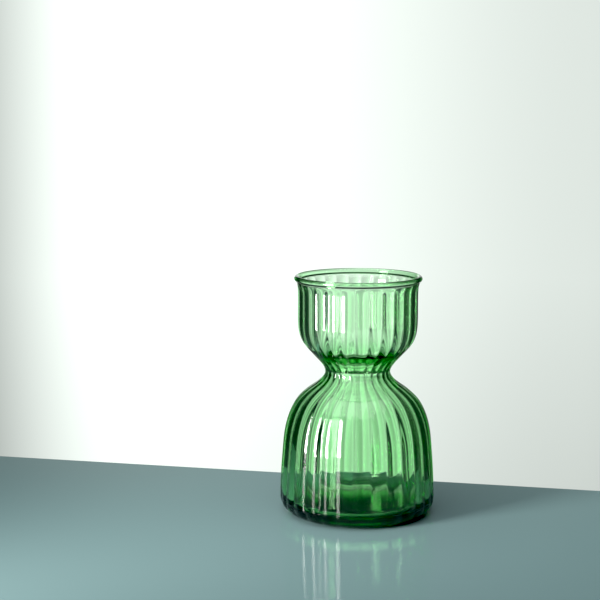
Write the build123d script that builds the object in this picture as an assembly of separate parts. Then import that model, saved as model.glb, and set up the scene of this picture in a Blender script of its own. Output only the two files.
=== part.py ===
from build123d import *
import math
import os

os.makedirs("parts", exist_ok=True)

# Ribbed hourglass bud vase, blown in one piece of green glass.
# Frame: +Z up, the vase's axis on Z, its standing ring on z = 0. Millimetres throughout.
# The glass is modelled zone by zone (base, lower body, waist, upper cup, rim bead).
# Neighbouring zones share one level face, scalloped outside and round inside.

# Overall sizes
HEIGHT = 140.0  # table to the top of the lip
BODY_RADIUS = 45.4  # widest rib crest, just above the heel
WAIST_RADIUS = 19.0  # rib crest at the narrowest level
CUP_RADIUS = 35.0  # rib crest on the upper cup
LIP_RADIUS = 37.3  # outside of the lip bead
WAIST_LEVEL = 83.6  # height of the narrowest level

# Glass thickness
BODY_WALL = 2.2  # wall behind the grooves of the body, square to the surface
CUP_WALL = 1.4  # the same on the cup; the throat passes from one to the other
THROAT_SWELL = 2.3  # glass gathered inside the throat when the waist is pinched
THROAT_RISE = 7.5  # the gathered glass is thickest this far above the narrowest level
THROAT_REACH = 5.5  # height over which the gathered glass thins out, each way
FLOOR = 6.5  # glass under the edge of the inside floor
KICK_UP = 1.4  # rise of the pushed-up floor at the axis

# Ribs: round crests meeting in narrow grooves
RIB_COUNT = 28
RIB_DEPTH = 1.02  # groove depth at the widest level; it narrows with the vase
RIB_FOOT_SHARE = 0.45  # how much of the groove is left at the standing ring
RIB_FADE = 5.0  # height over which the grooves run out under the lip

# Heel, floor and lip
HEEL_WIDTH = 9.4  # from the widest radius in to the standing ring's outer edge
HEEL_HEIGHT = 9.0  # height of the rounded heel
RING_WIDTH = 3.2  # flat of the standing ring, measured from the grooves
CORNER_RADIUS = 6.0  # round between the inside floor and the wall
BEAD_RADIUS = 1.65  # round of the lip bead
COLLAR = 0.4  # plain glass between the end of the grooves and the bead's crease
FLARE_HEIGHT = 7.3  # height over which the cup turns out to the lip
FLARE_OVERLAP = 0.35  # how far the flared wall stands outside the bead's middle
FLARE_LEAN = 0.42  # outward run for each millimetre of rise where the wall meets the lip

# Levels where one zone meets the next
WAIST_BELOW = 7.3  # the waist zone's reach below the narrowest level
WAIST_ABOVE = 6.7  # and above it
BASE_TOP = FLOOR + CORNER_RADIUS
BODY_TOP = WAIST_LEVEL - WAIST_BELOW
WAIST_TOP = WAIST_LEVEL + WAIST_ABOVE
CUP_TOP = HEIGHT - 2.0 * BEAD_RADIUS - COLLAR
FLARE_START = CUP_TOP - FLARE_HEIGHT

# Sections that each zone is lofted through
HEEL_SECTIONS = 6
BODY_SECTIONS = 12
WAIST_SECTIONS = 8
CUP_SECTIONS = 14
CUT_OVER = 2.0  # how far a cutting shape runs past the face it cuts

# Shape of the crest profile, as shares of its own run: share of the height, share of the
# change in radius, and steepness. The body leans in gently and turns over its shoulder.
BODY_SHAPE = [(0.0, 0.0, 0.0), (0.335, 0.043, 0.24), (0.576, 0.124, 0.66)]
BODY_SHAPE += [(0.751, 0.318, 1.75), (0.885, 0.715, 4.24), (1.0, 1.0, 0.0)]
# The cup flares out of the waist, rounds off and stands almost upright.
CUP_SHAPE = [(0.0, 0.0, 0.0), (0.207, 0.39, 2.64), (0.425, 0.88, 1.19)]
CUP_SHAPE += [(0.758, 1.0, 0.0), (1.0, 1.0, 0.05)]

RIB_PITCH = 2.0 * math.pi / RIB_COUNT


def run(shape, low, high, radius_low, radius_high):
    """Stations (level, radius, slope) of one run of the profile."""
    rise = high - low
    change = radius_high - radius_low
    return [(low + u * rise, radius_low + v * change, steep * change / rise) for u, v, steep in shape]


STATIONS = run(BODY_SHAPE, HEEL_HEIGHT, WAIST_LEVEL, BODY_RADIUS, WAIST_RADIUS)
STATIONS += run(CUP_SHAPE, WAIST_LEVEL, FLARE_START, WAIST_RADIUS, CUP_RADIUS)[1:]
STATIONS.append((CUP_TOP, LIP_RADIUS - BEAD_RADIUS + FLARE_OVERLAP, FLARE_LEAN))


def profile(level):
    """Crest radius and slope at a level, from the cubic between the two stations around it."""
    for (z0, r0, s0), (z1, r1, s1) in zip(STATIONS, STATIONS[1:]):
        if level <= z1:
            break
    span = z1 - z0
    t = min(max((level - z0) / span, 0.0), 1.0)
    start = (2 * t**3 - 3 * t**2 + 1) * r0 + (t**3 - 2 * t**2 + t) * span * s0
    end = (3 * t**2 - 2 * t**3) * r1 + (t**3 - t**2) * span * s1
    radius = start + end
    slope_start = (6 * t**2 - 6 * t) * r0 / span + (3 * t**2 - 4 * t + 1) * s0
    slope_end = (6 * t - 6 * t**2) * r1 / span + (3 * t**2 - 2 * t) * s1
    return radius, slope_start + slope_end


def crest_radius(level):
    """Crest radius at a level; below the heel's top it follows a quarter ellipse."""
    if level < HEEL_HEIGHT:
        rise = 1.0 - level / HEEL_HEIGHT
        return BODY_RADIUS - HEEL_WIDTH * (1.0 - math.sqrt(1.0 - rise * rise))
    return profile(level)[0]


def rib_depth(level):
    """Groove depth at a level: shallow at the foot, full on the walls, none under the lip."""
    foot = min(level / HEEL_HEIGHT, 1.0)
    share = RIB_FOOT_SHARE + (1.0 - RIB_FOOT_SHARE) * foot
    run_out = min(max((CUP_TOP - level) / RIB_FADE, 0.0), 1.0)
    narrowing = crest_radius(level) / BODY_RADIUS
    return RIB_DEPTH * narrowing * share * run_out * (2.0 - run_out)


def wall(level):
    """Wall behind the grooves: eases from the body's to the cup's, with gathered glass in the throat."""
    t = min(max((level - BODY_TOP) / (WAIST_TOP - BODY_TOP), 0.0), 1.0)
    plain = BODY_WALL + (CUP_WALL - BODY_WALL) * t * t * (3.0 - 2.0 * t)
    away = (level - WAIST_LEVEL - THROAT_RISE) / THROAT_REACH
    return plain + THROAT_SWELL * math.exp(-away * away)


def inner_radius(level):
    """Smooth inside radius: the wall thickness is kept square to the sloping wall."""
    radius, slope = profile(level)
    return radius - rib_depth(level) - wall(level) * math.hypot(1.0, slope)


def levels(low, high, count):
    """Evenly spaced levels from low to high, both ends included."""
    return [low + (high - low) * i / count for i in range(count + 1)]


def polar(radius, angle, level):
    return (radius * math.cos(angle), radius * math.sin(angle), level)


def scalloped_face(level):
    """Level face bounded by one arc per rib, crest at the middle of each arc."""
    crest = crest_radius(level)
    groove = crest - rib_depth(level)
    arcs = []
    for rib in range(RIB_COUNT):
        middle = rib * RIB_PITCH
        start = polar(groove, middle - RIB_PITCH / 2, level)
        top = polar(crest, middle, level)
        end = polar(groove, middle + RIB_PITCH / 2, level)
        arcs.append(ThreePointArc(start, top, end))
    return Face(Wire(arcs))


def ribbed_solid(section_levels):
    """Solid ribbed outside, lofted through one scalloped face per level."""
    return loft([scalloped_face(level) for level in section_levels])


def hollow(low, high, count):
    """Round inside space between two levels, run past both so that it cuts cleanly."""
    side = Spline([(inner_radius(level), 0, level) for level in levels(low, high, 2 * count)])
    start = side @ 0
    end = side @ 1
    above = high + CUT_OVER
    below = low - CUT_OVER
    outline = [
        side,
        Line(end, (end.X, 0, above)),
        Line((end.X, 0, above), (0, 0, above)),
        Line((0, 0, above), (0, 0, below)),
        Line((0, 0, below), (start.X, 0, below)),
        Line((start.X, 0, below), start),
    ]
    return revolve(Face(Wire(outline)), Axis.Z)


def dome(edge, rise, level):
    """Shallow round from the axis down to the edge, a piece of a sphere centred on the axis."""
    ball = (edge * edge + rise * rise) / (2.0 * rise)
    drop = ball - math.sqrt(ball * ball - edge * edge / 4.0)
    return ThreePointArc((0, 0, level + rise), (edge / 2, 0, level + rise - drop), (edge, 0, level))


def make_zone(low, high, count):
    """One ribbed, hollow zone of wall between two levels."""
    return ribbed_solid(levels(low, high, count)) - hollow(low, high, count)


def make_base():
    """Heel, standing ring, pushed-up floor and the round up to the wall."""
    turns = [math.pi / 2 * i / HEEL_SECTIONS for i in range(HEEL_SECTIONS + 1)]
    heel = [HEEL_HEIGHT * (1.0 - math.cos(turn)) for turn in turns]
    outside = ribbed_solid(heel + [BASE_TOP])
    wall_in = inner_radius(BASE_TOP)
    floor_edge = wall_in - CORNER_RADIUS
    diagonal = CORNER_RADIUS * math.sqrt(0.5)
    above = BASE_TOP + CUT_OVER
    axis_top = (0, 0, above)
    floor_middle = (0, 0, FLOOR + KICK_UP)
    corner_start = (floor_edge, 0, FLOOR)
    corner_middle = (floor_edge + diagonal, 0, BASE_TOP - diagonal)
    corner_end = (wall_in, 0, BASE_TOP)
    inside = [
        dome(floor_edge, KICK_UP, FLOOR),
        ThreePointArc(corner_start, corner_middle, corner_end),
        Line(corner_end, (wall_in, 0, above)),
        Line((wall_in, 0, above), axis_top),
        Line(axis_top, floor_middle),
    ]
    ring_inner = crest_radius(0.0) - rib_depth(0.0) - RING_WIDTH
    under = [
        dome(ring_inner, KICK_UP, 0.0),
        Line((ring_inner, 0, 0), (ring_inner, 0, -CUT_OVER)),
        Line((ring_inner, 0, -CUT_OVER), (0, 0, -CUT_OVER)),
        Line((0, 0, -CUT_OVER), (0, 0, KICK_UP)),
    ]
    outside = outside - revolve(Face(Wire(inside)), Axis.Z)
    return outside - revolve(Face(Wire(under)), Axis.Z)


def make_rim_bead():
    """Fire-polished round lip on a short plain collar that carries on the cup's wall."""
    centre = LIP_RADIUS - BEAD_RADIUS
    middle = HEIGHT - BEAD_RADIUS
    wall_in = inner_radius(CUP_TOP)
    wall_out = crest_radius(CUP_TOP)
    bead = Pos(centre, middle) * Circle(BEAD_RADIUS)
    collar = Polygon(
        (wall_in, CUP_TOP),
        (wall_out, CUP_TOP),
        (wall_out, middle),
        (max(wall_in, centre - BEAD_RADIUS), middle),
    )
    return revolve(Plane.XZ * (bead + collar), Axis.Z)


def write(node, shape):
    """Write one zone as its own named STEP file."""
    solid = shape.solids()[0]
    solid.label = node
    export_step(solid, f"parts/{node}.step")
    print(node, len(shape.solids()), solid.is_valid, round(solid.volume, 1), solid.bounding_box())


write("base", make_base())
write("lower_body", make_zone(BASE_TOP, BODY_TOP, BODY_SECTIONS))
write("waist", make_zone(BODY_TOP, WAIST_TOP, WAIST_SECTIONS))
write("upper_cup", make_zone(WAIST_TOP, CUP_TOP, CUP_SECTIONS))
write("rim_bead", make_rim_bead())
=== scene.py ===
"""Looks of the ribbed glass bud vase: glass zones turned and ribbed by one node tree, in a plain studio."""
import bpy
import math
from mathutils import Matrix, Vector


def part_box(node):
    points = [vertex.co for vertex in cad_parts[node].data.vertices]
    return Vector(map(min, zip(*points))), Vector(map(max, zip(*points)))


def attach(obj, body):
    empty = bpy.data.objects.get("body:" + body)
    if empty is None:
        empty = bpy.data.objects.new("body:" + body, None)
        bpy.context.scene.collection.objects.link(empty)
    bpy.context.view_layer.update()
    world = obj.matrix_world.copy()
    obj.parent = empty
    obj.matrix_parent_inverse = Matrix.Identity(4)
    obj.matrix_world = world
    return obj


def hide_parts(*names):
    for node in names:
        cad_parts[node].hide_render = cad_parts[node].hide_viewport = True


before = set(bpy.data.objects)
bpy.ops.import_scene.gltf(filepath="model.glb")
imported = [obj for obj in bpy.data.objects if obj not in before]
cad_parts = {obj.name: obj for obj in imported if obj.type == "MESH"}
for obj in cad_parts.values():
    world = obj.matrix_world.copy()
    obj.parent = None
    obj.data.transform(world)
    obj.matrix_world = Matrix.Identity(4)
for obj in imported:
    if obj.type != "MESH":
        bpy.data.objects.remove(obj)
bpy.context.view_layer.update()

MM = 0.001

# Sizes that the frame gives
LIP_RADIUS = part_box("rim_bead")[1][0]
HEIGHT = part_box("rim_bead")[1][2]
BODY_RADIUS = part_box("base")[1][0]
BASE_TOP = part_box("base")[1][2]
BODY_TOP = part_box("lower_body")[1][2]
WAIST_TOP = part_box("waist")[1][2]
CUP_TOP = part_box("upper_cup")[1][2]

# Sizes of the glass that the boxes don't give
WAIST_RADIUS = 19.0 * MM
WAIST_LEVEL = 83.6 * MM
CUP_RADIUS = 35.0 * MM
BODY_WALL = 2.2 * MM
CUP_WALL = 1.4 * MM
THROAT_SWELL = 2.3 * MM
THROAT_RISE = 7.5 * MM
THROAT_REACH = 5.5 * MM
FLOOR = 6.5 * MM
KICK_UP = 1.4 * MM
RIB_COUNT = 28
RIB_DEPTH = 1.02 * MM
RIB_FOOT_SHARE = 0.45
RIB_FADE = 5.0 * MM
HEEL_WIDTH = 9.4 * MM
HEEL_HEIGHT = 9.0 * MM
RING_WIDTH = 3.2 * MM
BEAD_RADIUS = 1.65 * MM
FLARE_HEIGHT = 7.3 * MM
FLARE_OVERLAP = 0.35 * MM
FLARE_LEAN = 0.42
CORNER_RADIUS = BASE_TOP - FLOOR
FLARE_START = CUP_TOP - FLARE_HEIGHT

# Shape of the crest profile: share of the height, share of the change in radius, steepness
BODY_SHAPE = [(0.0, 0.0, 0.0), (0.335, 0.043, 0.24), (0.576, 0.124, 0.66)]
BODY_SHAPE += [(0.751, 0.318, 1.75), (0.885, 0.715, 4.24), (1.0, 1.0, 0.0)]
CUP_SHAPE = [(0.0, 0.0, 0.0), (0.207, 0.39, 2.64), (0.425, 0.88, 1.19)]
CUP_SHAPE += [(0.758, 1.0, 0.0), (1.0, 1.0, 0.05)]

# Finish of the ribs and the slow unevenness of blown glass
GROOVE_ROUND = 0.14
WAVINESS = 0.05 * MM
WAVE_SIZE = 22.0 * MM
WAVE_STRETCH = 2.5
WAVE_HOLD = 20.0 * MM
WAVE_SEED = 7.0

# Fineness of the turned meshes
STEPS_PER_RIB = 14
ROW_HEIGHT = 0.9 * MM
CLOSE_ROWS = (0.04 * MM, 0.16 * MM, 0.45 * MM)
HEEL_ROWS = 14
DOME_STEPS = 24
CORNER_STEPS = 16
BEAD_STEPS = 56
SEAM_MERGE = 0.0005 * MM

# Rows that ease the flat of the standing ring: step in from its edges, share of the grooves left
RING_INNER_STEP = 0.3 * MM
RING_OUTER_STEP = 1.2 * MM
RING_GROOVE_SHARE = 0.6

# Two zones stand this far back from the level where they meet
JOINT_GAP = 0.012 * MM
JOINT_MATCH = 0.001 * MM
JOINT_MARK = "zone_joint"
NO_JOINT = -1.0

# Green glass: each metre absorbs the density times what the colour lacks of white
GREEN = (0.33, 0.89, 0.36, 1.0)
GREEN_DENSITY = 228.0
GLASS_IOR = 1.5
SKIN_WAVE_SCALE = 160.0
SKIN_WAVE_DRAW = 0.25
SKIN_WAVE_HEIGHT = 0.2 * MM
SKIN_WAVE_STRENGTH = 0.08
HAZE_SCALE = 90.0
HAZE_RANGE = (0.35, 0.75)
HAZE_ROUGHNESS = 0.03

# Camera: azimuth round the vase, distance from its axis, height; angles in degrees
CAMERA_AZIMUTH = -3.6
CAMERA_DISTANCE = 800.0 * MM
CAMERA_HEIGHT = 238.5 * MM
CAMERA_LENS = 83.3
CAMERA_PITCH = 8.05
CAMERA_TURN = 2.42

# Table top: half its width and its full depth, its back edge behind the axis, the edge's turn
TABLE_REACH = 1.6
TABLE_BEHIND = 0.072
TABLE_TURN = 10.0
TABLE_COLOUR = (0.23, 0.355, 0.365, 1.0)
TABLE_ROUGHNESS = 0.08

# Tall lamp that gives the upright strips of shine; azimuths count from the camera's side
WINDOW_AZIMUTH = -52.5
WINDOW_DISTANCE = 0.45
WINDOW_WIDTH = 0.13
WINDOW_HEIGHT = 0.36
WINDOW_POWER = 1.75
WINDOW_SPREAD = 80.0
WINDOW_COLOUR = (1.0, 0.98, 0.94)

# Large soft lamp above
SOFTBOX_AZIMUTH = -20.0
SOFTBOX_DISTANCE = 0.3
SOFTBOX_LEVEL = 1.2
SOFTBOX_AIM = 0.05
SOFTBOX_SIZE = 1.4
SOFTBOX_POWER = 13.0
SOFTBOX_COLOUR = (0.97, 1.0, 0.99)

# Air of the studio: a dim room, and a bright backdrop within these angles (degrees)
ROOM_LIGHT = (0.035, 0.042, 0.042, 1.0)
BACKDROP_LIGHT = (0.98, 1.06, 1.0, 1.0)
BACKDROP_SIDE = (9.0, 20.0)  # fades out between these, to each side
BACKDROP_TOP = (6.0, 18.0)  # fades out between these, upwards
BACKDROP_FALL = (-16.0, -7.0)  # rises to its full light between these
BACKDROP_FOOT = 0.82  # share of the light at the foot
BACKDROP_LEAN = (-11.0, 10.0)  # from the bright side to the dull side
BACKDROP_LEAN_LIGHT = (1.3, 0.75)

# Light at or below this level comes out black, as in a contrasty print
BLACK_POINT = 0.013

# Enough bounces to pass through every wall and zone joint of the vase
MAX_BOUNCES = 24
GLOSSY_BOUNCES = 12


# ---------------------------------------------------------------- profile of the glass

def run(shape, low, high, radius_low, radius_high):
    """Stations (level, radius, slope) of one run of the profile."""
    rise = high - low
    change = radius_high - radius_low
    return [(low + u * rise, radius_low + v * change, steep * change / rise) for u, v, steep in shape]


STATIONS = run(BODY_SHAPE, HEEL_HEIGHT, WAIST_LEVEL, BODY_RADIUS, WAIST_RADIUS)
STATIONS += run(CUP_SHAPE, WAIST_LEVEL, FLARE_START, WAIST_RADIUS, CUP_RADIUS)[1:]
STATIONS.append((CUP_TOP, LIP_RADIUS - BEAD_RADIUS + FLARE_OVERLAP, FLARE_LEAN))


def profile(level):
    """Crest radius and slope at a level, from the cubic between the two stations around it."""
    for (z0, r0, s0), (z1, r1, s1) in zip(STATIONS, STATIONS[1:]):
        if level <= z1:
            break
    span = z1 - z0
    t = min(max((level - z0) / span, 0.0), 1.0)
    start = (2 * t**3 - 3 * t**2 + 1) * r0 + (t**3 - 2 * t**2 + t) * span * s0
    end = (3 * t**2 - 2 * t**3) * r1 + (t**3 - t**2) * span * s1
    slope_start = (6 * t**2 - 6 * t) * r0 / span + (3 * t**2 - 4 * t + 1) * s0
    slope_end = (6 * t - 6 * t**2) * r1 / span + (3 * t**2 - 2 * t) * s1
    return start + end, slope_start + slope_end


def crest_radius(level):
    """Crest radius at a level; below the heel's top it follows a quarter ellipse."""
    if level < HEEL_HEIGHT:
        rise = 1.0 - level / HEEL_HEIGHT
        return BODY_RADIUS - HEEL_WIDTH * (1.0 - math.sqrt(1.0 - rise * rise))
    return profile(level)[0]


def rib_depth(level):
    """Groove depth at a level: shallow at the foot, full on the walls, none under the lip."""
    foot = min(level / HEEL_HEIGHT, 1.0)
    share = RIB_FOOT_SHARE + (1.0 - RIB_FOOT_SHARE) * foot
    run_out = min(max((CUP_TOP - level) / RIB_FADE, 0.0), 1.0)
    return RIB_DEPTH * crest_radius(level) / BODY_RADIUS * share * run_out * (2.0 - run_out)


def wall(level):
    """Wall behind the grooves: eases from the body's to the cup's, with gathered glass in the throat."""
    t = min(max((level - BODY_TOP) / (WAIST_TOP - BODY_TOP), 0.0), 1.0)
    plain = BODY_WALL + (CUP_WALL - BODY_WALL) * t * t * (3.0 - 2.0 * t)
    away = (level - WAIST_LEVEL - THROAT_RISE) / THROAT_REACH
    return plain + THROAT_SWELL * math.exp(-away * away)


def inner_radius(level):
    """Smooth inside radius: the wall thickness is kept square to the sloping wall."""
    radius, slope = profile(level)
    return radius - rib_depth(level) - wall(level) * math.hypot(1.0, slope)


def rows(low, high, close_low=True):
    """Levels between two joints, with close rows beside each joint so that the shine runs on over it."""
    count = max(round((high - low) / ROW_HEIGHT), 4)
    levels = {low + (high - low) * i / count for i in range(count + 1)}
    levels |= {high - step for step in CLOSE_ROWS}
    if close_low:
        levels |= {low + step for step in CLOSE_ROWS}
    return sorted(levels)


def arc(centre, radius, start, end, count):
    """Points of a round in the half plane (radius, level), angles in degrees."""
    angles = [math.radians(start + (end - start) * i / count) for i in range(count + 1)]
    return [(centre[0] + radius * math.cos(a), centre[1] + radius * math.sin(a)) for a in angles]


def dome(edge, rise, level):
    """Points of a shallow round from the axis out to its edge."""
    ball = (edge * edge + rise * rise) / (2.0 * rise)
    radii = [edge * i / DOME_STEPS for i in range(DOME_STEPS + 1)]
    return [(r, level + rise - ball + math.sqrt(ball * ball - r * r)) for r in radii]


def outside(levels):
    return [(crest_radius(z), z, rib_depth(z)) for z in levels]


def inside(levels):
    return [(inner_radius(z), z, 0.0) for z in reversed(levels)]


def ungrooved(points):
    """Points of the profile where there are no grooves."""
    return [(r, z, 0.0) for r, z in points]


def wall_loop(low, high):
    """Closed outline of one zone of wall: up the outside, down the inside, back to the start."""
    levels = rows(low + JOINT_GAP, high - JOINT_GAP)
    loop = outside(levels) + inside(levels)
    return loop + loop[:1]


def base_path():
    """Outline of the base, from the axis underneath, round the heel, to the axis on the inside floor."""
    top = BASE_TOP - JOINT_GAP
    foot = crest_radius(0.0)
    ring_inner = foot - rib_depth(0.0) - RING_WIDTH
    path = ungrooved(dome(ring_inner, KICK_UP, 0.0))
    path.append((ring_inner + RING_INNER_STEP, 0.0, 0.0))
    path.append((foot - RING_OUTER_STEP, 0.0, rib_depth(0.0) * RING_GROOVE_SHARE))
    turns = [math.pi / 2 * i / HEEL_ROWS for i in range(HEEL_ROWS)]
    path += outside([HEEL_HEIGHT * (1.0 - math.cos(turn)) for turn in turns])
    path += outside(rows(HEEL_HEIGHT, top, close_low=False))
    corner_centre = (inner_radius(BASE_TOP) - CORNER_RADIUS, BASE_TOP)
    corner = arc(corner_centre, CORNER_RADIUS, 0.0, -90.0, CORNER_STEPS)
    path += ungrooved((r, min(z, top)) for r, z in corner)
    path += ungrooved(reversed(dome(corner_centre[0], KICK_UP, FLOOR)[:-1]))
    return path


def rim_loop():
    """Closed outline of the lip: up the collar, round the bead, down the inside."""
    centre = (LIP_RADIUS - BEAD_RADIUS, HEIGHT - BEAD_RADIUS)
    wall_in = inner_radius(CUP_TOP)
    wall_out = crest_radius(CUP_TOP)
    outer_crease = math.degrees(math.acos((wall_out - centre[0]) / BEAD_RADIUS))
    inner_crease = math.degrees(math.acos((centre[0] - wall_in) / BEAD_RADIUS))
    bead = arc(centre, BEAD_RADIUS, -outer_crease, 180.0 + inner_crease, BEAD_STEPS)
    low = CUP_TOP + JOINT_GAP
    close = low + CLOSE_ROWS[0]
    loop = [(wall_out, low), (wall_out, close)] + bead + [(wall_in, close), (wall_in, low)]
    return ungrooved(loop + loop[:1])


# ---------------------------------------------------------------- node tree that turns and ribs a profile

class Tree:
    """Short hand for building a node tree."""

    def __init__(self, tree):
        self.tree = tree

    def add(self, kind, inputs=(), **settings):
        node = self.tree.nodes.new(kind)
        for name, value in settings.items():
            setattr(node, name, value)
        for key, value in dict(inputs).items():
            socket = node.inputs[key]
            if isinstance(value, bpy.types.NodeSocket):
                self.tree.links.new(value, socket)
            else:
                socket.default_value = value
        return node

    def math(self, operation, *values):
        return self.add("ShaderNodeMath", dict(enumerate(values)), operation=operation).outputs[0]

    def vector(self, operation, *values):
        return self.add("ShaderNodeVectorMath", dict(enumerate(values)), operation=operation).outputs[0]

    def dot(self, first, second):
        node = self.add("ShaderNodeVectorMath", {0: first, 1: second}, operation="DOT_PRODUCT")
        return node.outputs["Value"]

    def ramp(self, value, given, wanted, **settings):
        """Maps one range of a value onto another."""
        return self.add("ShaderNodeMapRange", {
            "Value": value,
            "From Min": given[0],
            "From Max": given[1],
            "To Min": wanted[0],
            "To Max": wanted[1],
        }, **settings).outputs[0]


TURN_INPUTS = [
    ("Profile", "NodeSocketGeometry", None),
    ("Rib Count", "NodeSocketInt", RIB_COUNT),
    ("Steps per Rib", "NodeSocketInt", STEPS_PER_RIB),
    ("Groove Round", "NodeSocketFloat", GROOVE_ROUND),
    ("Waviness", "NodeSocketFloat", WAVINESS),
    ("Wave Size", "NodeSocketFloat", WAVE_SIZE),
    ("Seed", "NodeSocketFloat", WAVE_SEED),
    ("Lower Joint", "NodeSocketFloat", NO_JOINT),
    ("Upper Joint", "NodeSocketFloat", NO_JOINT),
    ("Glass", "NodeSocketMaterial", None),
]


def rib_drop(t, column, depth, steps_per_rib, groove_round):
    """How far the outside lies within the crest: 0 on a crest, the full depth in a rounded groove."""
    turn = t.math("DIVIDE", column, steps_per_rib)
    share = t.math("SUBTRACT", t.math("FRACT", t.math("ADD", turn, 0.5)), 0.5)
    across = t.math("MULTIPLY", share, 2.0)
    crest = t.math("SUBTRACT", 1.0, t.math("MULTIPLY", across, across))
    softened = t.math("ADD", t.math("POWER", crest, 2.0), t.math("POWER", groove_round, 2.0))
    full = t.math("ADD", 1.0, t.math("POWER", groove_round, 2.0))
    rise = t.math("SQRT", t.math("DIVIDE", softened, full))
    return t.math("MULTIPLY", depth, t.math("SUBTRACT", 1.0, rise))


def blown_shift(t, place, radius, ahead, aside, given):
    """Slow unevenness of blown glass, always inwards and none on the axis."""
    size = t.add("ShaderNodeCombineXYZ", {
        "X": given["Wave Size"],
        "Y": given["Wave Size"],
        "Z": t.math("MULTIPLY", given["Wave Size"], WAVE_STRETCH),
    }).outputs[0]
    noise = t.add("ShaderNodeTexNoise", {
        "Vector": t.vector("DIVIDE", place, size), "W": given["Seed"], "Scale": 1.0, "Detail": 1.0,
    }, noise_dimensions="4D").outputs[0]
    inward = t.math("MULTIPLY", noise, t.math("MULTIPLY", given["Waviness"], -1.0))
    held = t.math("MINIMUM", t.math("DIVIDE", radius, WAVE_HOLD), 1.0)
    inward = t.math("MULTIPLY", inward, held)
    return t.add("ShaderNodeCombineXYZ", {
        "X": t.math("MULTIPLY", inward, ahead),
        "Y": t.math("MULTIPLY", inward, aside),
    }).outputs[0]


def turning_tree():
    """Turns a profile about the axis into a closed shell and presses round ribs into its outside.

    The profile is a line of vertices in the plane of +X and +Z with the groove depth on each one.
    """
    group = bpy.data.node_groups.new("turned_ribbed_glass", "GeometryNodeTree")
    for name, kind, value in TURN_INPUTS:
        socket = group.interface.new_socket(name=name, in_out="INPUT", socket_type=kind)
        if value is not None:
            socket.default_value = value
    group.interface.new_socket(name="Shell", in_out="OUTPUT", socket_type="NodeSocketGeometry")
    t = Tree(group)
    given = t.add("NodeGroupInput").outputs

    # A grid with one row for each point of the profile and one column for each step of the turn
    size = t.add("GeometryNodeAttributeDomainSize", {"Geometry": given["Profile"]}, component="MESH")
    points = size.outputs["Point Count"]
    steps = t.math("MULTIPLY", given["Rib Count"], given["Steps per Rib"])
    grid = t.add("GeometryNodeMeshGrid", {"Vertices X": t.math("ADD", steps, 1.0), "Vertices Y": points})
    index = t.add("GeometryNodeInputIndex").outputs[0]
    row = t.math("MODULO", index, points)
    column = t.math("FLOOR", t.math("DIVIDE", t.math("ADD", index, 0.5), points))

    # The profile's point and groove depth on each row
    place = t.add("GeometryNodeInputPosition").outputs[0]
    sample = {"Geometry": given["Profile"], "Value": place, "Index": row}
    corner = t.add("GeometryNodeSampleIndex", sample, data_type="FLOAT_VECTOR").outputs[0]
    named = t.add("GeometryNodeInputNamedAttribute", {"Name": "rib_depth"}, data_type="FLOAT")
    sample = {"Geometry": given["Profile"], "Value": named.outputs[0], "Index": row}
    depth = t.add("GeometryNodeSampleIndex", sample, data_type="FLOAT").outputs[0]
    on_profile = t.add("ShaderNodeSeparateXYZ", {0: corner}).outputs

    # Turned about the axis, with the grooves and the unevenness
    angle = t.math("DIVIDE", t.math("MULTIPLY", column, math.tau), steps)
    ahead = t.math("COSINE", angle)
    aside = t.math("SINE", angle)
    drop = rib_drop(t, column, depth, given["Steps per Rib"], given["Groove Round"])
    radius = t.math("SUBTRACT", on_profile["X"], drop)
    turned = t.add("ShaderNodeCombineXYZ", {
        "X": t.math("MULTIPLY", radius, ahead),
        "Y": t.math("MULTIPLY", radius, aside),
        "Z": on_profile["Z"],
    }).outputs[0]
    moved = t.add("GeometryNodeSetPosition", {
        "Geometry": grid.outputs["Mesh"],
        "Position": t.vector("ADD", turned, blown_shift(t, turned, radius, ahead, aside, given)),
    })
    merged = t.add("GeometryNodeMergeByDistance", {"Geometry": moved.outputs[0], "Distance": SEAM_MERGE})

    # Faces that lie level at a joint, met face to face by the next zone
    level = t.add("ShaderNodeSeparateXYZ", {0: t.add("GeometryNodeInputPosition").outputs[0]}).outputs["Z"]
    at_joint = [t.math("COMPARE", level, given[name], JOINT_MATCH) for name in ("Lower Joint", "Upper Joint")]
    joint = t.math("MAXIMUM", *at_joint)
    smooth = t.add("GeometryNodeSetShadeSmooth", {"Geometry": merged.outputs[0], "Shade Smooth": True})
    creased = t.add("GeometryNodeSetShadeSmooth", {
        "Geometry": smooth.outputs[0], "Selection": t.math("GREATER_THAN", joint, 0.5), "Shade Smooth": False,
    }, domain="EDGE")
    marked = t.add("GeometryNodeStoreNamedAttribute", {
        "Geometry": creased.outputs[0], "Name": JOINT_MARK, "Value": joint,
    }, data_type="FLOAT", domain="FACE")
    real = t.add("GeometryNodeRealizeInstances", {"Geometry": marked.outputs[0]})
    done = t.add("GeometryNodeSetMaterial", {"Geometry": real.outputs[0], "Material": given["Glass"]})
    t.add("NodeGroupOutput", {0: done.outputs[0]})
    return group


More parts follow.
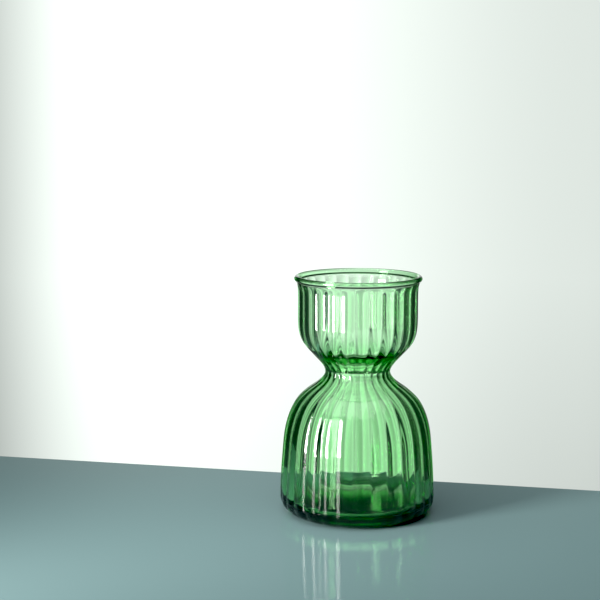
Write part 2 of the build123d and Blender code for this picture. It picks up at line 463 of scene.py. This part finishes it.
def turned_piece(name, path, joints, glass, tree):
    """One zone of the glass: its profile as a line of vertices, turned by the tree, as a plain mesh."""
    line = bpy.data.meshes.new(name + "_profile")
    line.from_pydata([(r, 0.0, z) for r, z, _ in path], [(i, i + 1) for i in range(len(path) - 1)], [])
    depth = line.attributes.new("rib_depth", "FLOAT", "POINT")
    depth.data.foreach_set("value", [d for _, _, d in path])
    source = bpy.data.objects.new(name + "_profile", line)
    bpy.context.scene.collection.objects.link(source)
    turning = source.modifiers.new("turning", "NODES")
    turning.node_group = tree
    sockets = {s.name: s.identifier for s in tree.interface.items_tree if s.in_out == "INPUT"}
    turning[sockets["Lower Joint"]] = joints[0]
    turning[sockets["Upper Joint"]] = joints[1]
    turning[sockets["Glass"]] = glass
    evaluated = source.evaluated_get(bpy.context.evaluated_depsgraph_get())
    mesh = bpy.data.meshes.new_from_object(evaluated)
    mesh.name = name
    bpy.data.objects.remove(source)
    piece = bpy.data.objects.new(name, mesh)
    bpy.context.scene.collection.objects.link(piece)
    return piece


# ---------------------------------------------------------------- materials

def fresh_material(name):
    material = bpy.data.materials.new(name)
    material.use_nodes = True
    material.node_tree.nodes.clear()
    return material, Tree(material.node_tree)


def green_glass():
    """Clear green glass: tint by depth, a fire-polished skin with faint waves and a trace of haze."""
    material, t = fresh_material("green_glass")
    place = t.add("ShaderNodeTexCoord").outputs["Object"]
    drawn = t.add("ShaderNodeMapping", {"Vector": place, "Scale": (1.0, 1.0, SKIN_WAVE_DRAW)}).outputs[0]
    waves = t.add("ShaderNodeTexNoise", {"Vector": drawn, "Scale": SKIN_WAVE_SCALE, "Detail": 2.0}).outputs[0]
    bump = t.add("ShaderNodeBump", {
        "Height": waves, "Strength": SKIN_WAVE_STRENGTH, "Distance": SKIN_WAVE_HEIGHT,
    })
    haze = t.add("ShaderNodeTexNoise", {"Vector": place, "Scale": HAZE_SCALE, "Detail": 4.0}).outputs[0]
    rough = t.ramp(haze, HAZE_RANGE, (0.0, HAZE_ROUGHNESS))
    # Light runs straight on where two zones of the one wall meet
    joint = t.add("ShaderNodeAttribute", attribute_name=JOINT_MARK).outputs["Fac"]
    on_wall = t.math("SUBTRACT", 1.0, joint)
    skin = t.add("ShaderNodeBsdfPrincipled", {
        "Base Color": (1.0, 1.0, 1.0, 1.0),
        "Transmission Weight": 1.0,
        "IOR": GLASS_IOR,
        "Roughness": t.math("MULTIPLY", rough, on_wall),
        "Normal": bump.outputs[0],
    })
    bending = t.math("ADD", 1.0, t.math("MULTIPLY", on_wall, GLASS_IOR - 1.0))
    t.tree.links.new(bending, skin.inputs["IOR"])
    tint = t.add("ShaderNodeVolumeAbsorption", {"Color": GREEN, "Density": GREEN_DENSITY})
    t.add("ShaderNodeOutputMaterial", {"Surface": skin.outputs[0], "Volume": tint.outputs[0]})
    return material


def table_top():
    """Plain polished pale top."""
    material, t = fresh_material("pale_floor")
    shader = t.add("ShaderNodeBsdfPrincipled", {"Base Color": TABLE_COLOUR, "Roughness": TABLE_ROUGHNESS})
    t.add("ShaderNodeOutputMaterial", {"Surface": shader.outputs[0]})
    return material


# ---------------------------------------------------------------- the vase

tree = turning_tree()
glass = green_glass()
ZONES = {
    "base": (base_path(), (NO_JOINT, BASE_TOP - JOINT_GAP)),
    "lower_body": (wall_loop(BASE_TOP, BODY_TOP), (BASE_TOP + JOINT_GAP, BODY_TOP - JOINT_GAP)),
    "waist": (wall_loop(BODY_TOP, WAIST_TOP), (BODY_TOP + JOINT_GAP, WAIST_TOP - JOINT_GAP)),
    "upper_cup": (wall_loop(WAIST_TOP, CUP_TOP), (WAIST_TOP + JOINT_GAP, CUP_TOP - JOINT_GAP)),
    "rim_bead": (rim_loop(), (CUP_TOP + JOINT_GAP, NO_JOINT)),
}
for node, (path, joints) in ZONES.items():
    piece = turned_piece("glass_" + node, path, joints, glass, tree)
    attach(piece, "root")
    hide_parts(node)


# ---------------------------------------------------------------- studio

def around(azimuth, distance, height):
    """Place round the vase: azimuth in degrees to the right of the camera's side."""
    angle = math.radians(CAMERA_AZIMUTH + azimuth)
    return Vector((distance * math.sin(angle), -distance * math.cos(angle), height))


def add_table():
    """Table top that runs from its back edge, close behind the vase, to well in front of it."""
    turn = math.radians(CAMERA_AZIMUTH - TABLE_TURN)
    along = Vector((math.cos(turn), math.sin(turn), 0.0)) * TABLE_REACH
    to_front = Vector((math.sin(turn), -math.cos(turn), 0.0)) * TABLE_REACH
    edge = around(180.0, TABLE_BEHIND, 0.0)
    mesh = bpy.data.meshes.new("floor")
    mesh.from_pydata(
        [edge - along + to_front, edge + along + to_front, edge + along, edge - along], [], [(0, 1, 2, 3)])
    mesh.materials.append(table_top())
    table = bpy.data.objects.new("floor", mesh)
    bpy.context.scene.collection.objects.link(table)


def add_light(name, place, target, width, height, power, colour):
    """Soft rectangular lamp that faces a point."""
    lamp = bpy.data.lights.new(name, "AREA")
    lamp.shape = "RECTANGLE"
    lamp.size = width
    lamp.size_y = height
    lamp.energy = power
    lamp.color = colour
    holder = bpy.data.objects.new(name, lamp)
    holder.location = place
    holder.rotation_euler = (Vector(target) - Vector(place)).to_track_quat("-Z", "Y").to_euler()
    bpy.context.scene.collection.objects.link(holder)
    return lamp


def add_lights():
    middle = WINDOW_HEIGHT / 2
    window = add_light("window", around(WINDOW_AZIMUTH, WINDOW_DISTANCE, middle), (0.0, 0.0, middle),
                       WINDOW_WIDTH, WINDOW_HEIGHT, WINDOW_POWER, WINDOW_COLOUR)
    window.spread = math.radians(WINDOW_SPREAD)
    add_light("softbox", around(SOFTBOX_AZIMUTH, SOFTBOX_DISTANCE, SOFTBOX_LEVEL), (0.0, 0.0, SOFTBOX_AIM),
              SOFTBOX_SIZE, SOFTBOX_SIZE, SOFTBOX_POWER, SOFTBOX_COLOUR)


def add_camera():
    data = bpy.data.cameras.new("camera")
    data.lens = CAMERA_LENS
    camera = bpy.data.objects.new("camera", data)
    camera.location = around(0.0, CAMERA_DISTANCE, CAMERA_HEIGHT)
    heading = math.radians(CAMERA_AZIMUTH + CAMERA_TURN)
    camera.rotation_euler = (math.radians(90.0 - CAMERA_PITCH), 0.0, heading)
    bpy.context.scene.collection.objects.link(camera)
    bpy.context.scene.camera = camera


def add_world():
    """Dim room with one broad bright backdrop behind the vase, soft at its sides and above."""
    world = bpy.data.worlds.new("studio_air")
    world.use_nodes = True
    world.node_tree.nodes.clear()
    t = Tree(world.node_tree)
    direction = t.add("ShaderNodeTexCoord").outputs["Generated"]
    level = t.vector("NORMALIZE", t.vector("MULTIPLY", direction, (1.0, 1.0, 0.0)))
    sideways = t.math("ARCCOSINE", t.dot(level, around(180.0, 1.0, 0.0)))
    upwards = t.math("ARCSINE", t.add("ShaderNodeSeparateXYZ", {0: direction}).outputs["Z"])
    aside = t.dot(level, around(90.0, 1.0, 0.0))

    across = t.ramp(sideways, [math.radians(a) for a in BACKDROP_SIDE], (1.0, 0.0),
                    interpolation_type="SMOOTHSTEP")
    above = t.ramp(upwards, [math.radians(a) for a in BACKDROP_TOP], (1.0, 0.0),
                   interpolation_type="SMOOTHSTEP")
    fall = t.ramp(upwards, [math.radians(a) for a in BACKDROP_FALL], (BACKDROP_FOOT, 1.0))
    lean = t.ramp(aside, [math.sin(math.radians(a)) for a in BACKDROP_LEAN], BACKDROP_LEAN_LIGHT,
                  interpolation_type="SMOOTHSTEP")
    lit = t.math("MULTIPLY", t.math("MULTIPLY", across, above), t.math("MULTIPLY", fall, lean))
    mix = t.add("ShaderNodeMix", {0: lit, 6: ROOM_LIGHT, 7: BACKDROP_LIGHT},
                data_type="RGBA", clamp_factor=False)
    air = t.add("ShaderNodeBackground", {"Color": mix.outputs[2], "Strength": 1.0})
    t.add("ShaderNodeOutputWorld", {"Surface": air.outputs[0]})
    bpy.context.scene.world = world


add_table()
add_lights()
add_world()
add_camera()

settings = bpy.context.scene
settings.view_settings.view_transform = "Standard"
settings.view_settings.use_curve_mapping = True
settings.view_settings.curve_mapping.black_level = (BLACK_POINT, BLACK_POINT, BLACK_POINT)
settings.cycles.max_bounces = MAX_BOUNCES
settings.cycles.transmission_bounces = MAX_BOUNCES
settings.cycles.transparent_max_bounces = MAX_BOUNCES
settings.cycles.glossy_bounces = GLOSSY_BOUNCES
# The table under the vase stays in shade, without bright rings through the glass
settings.cycles.caustics_refractive = False
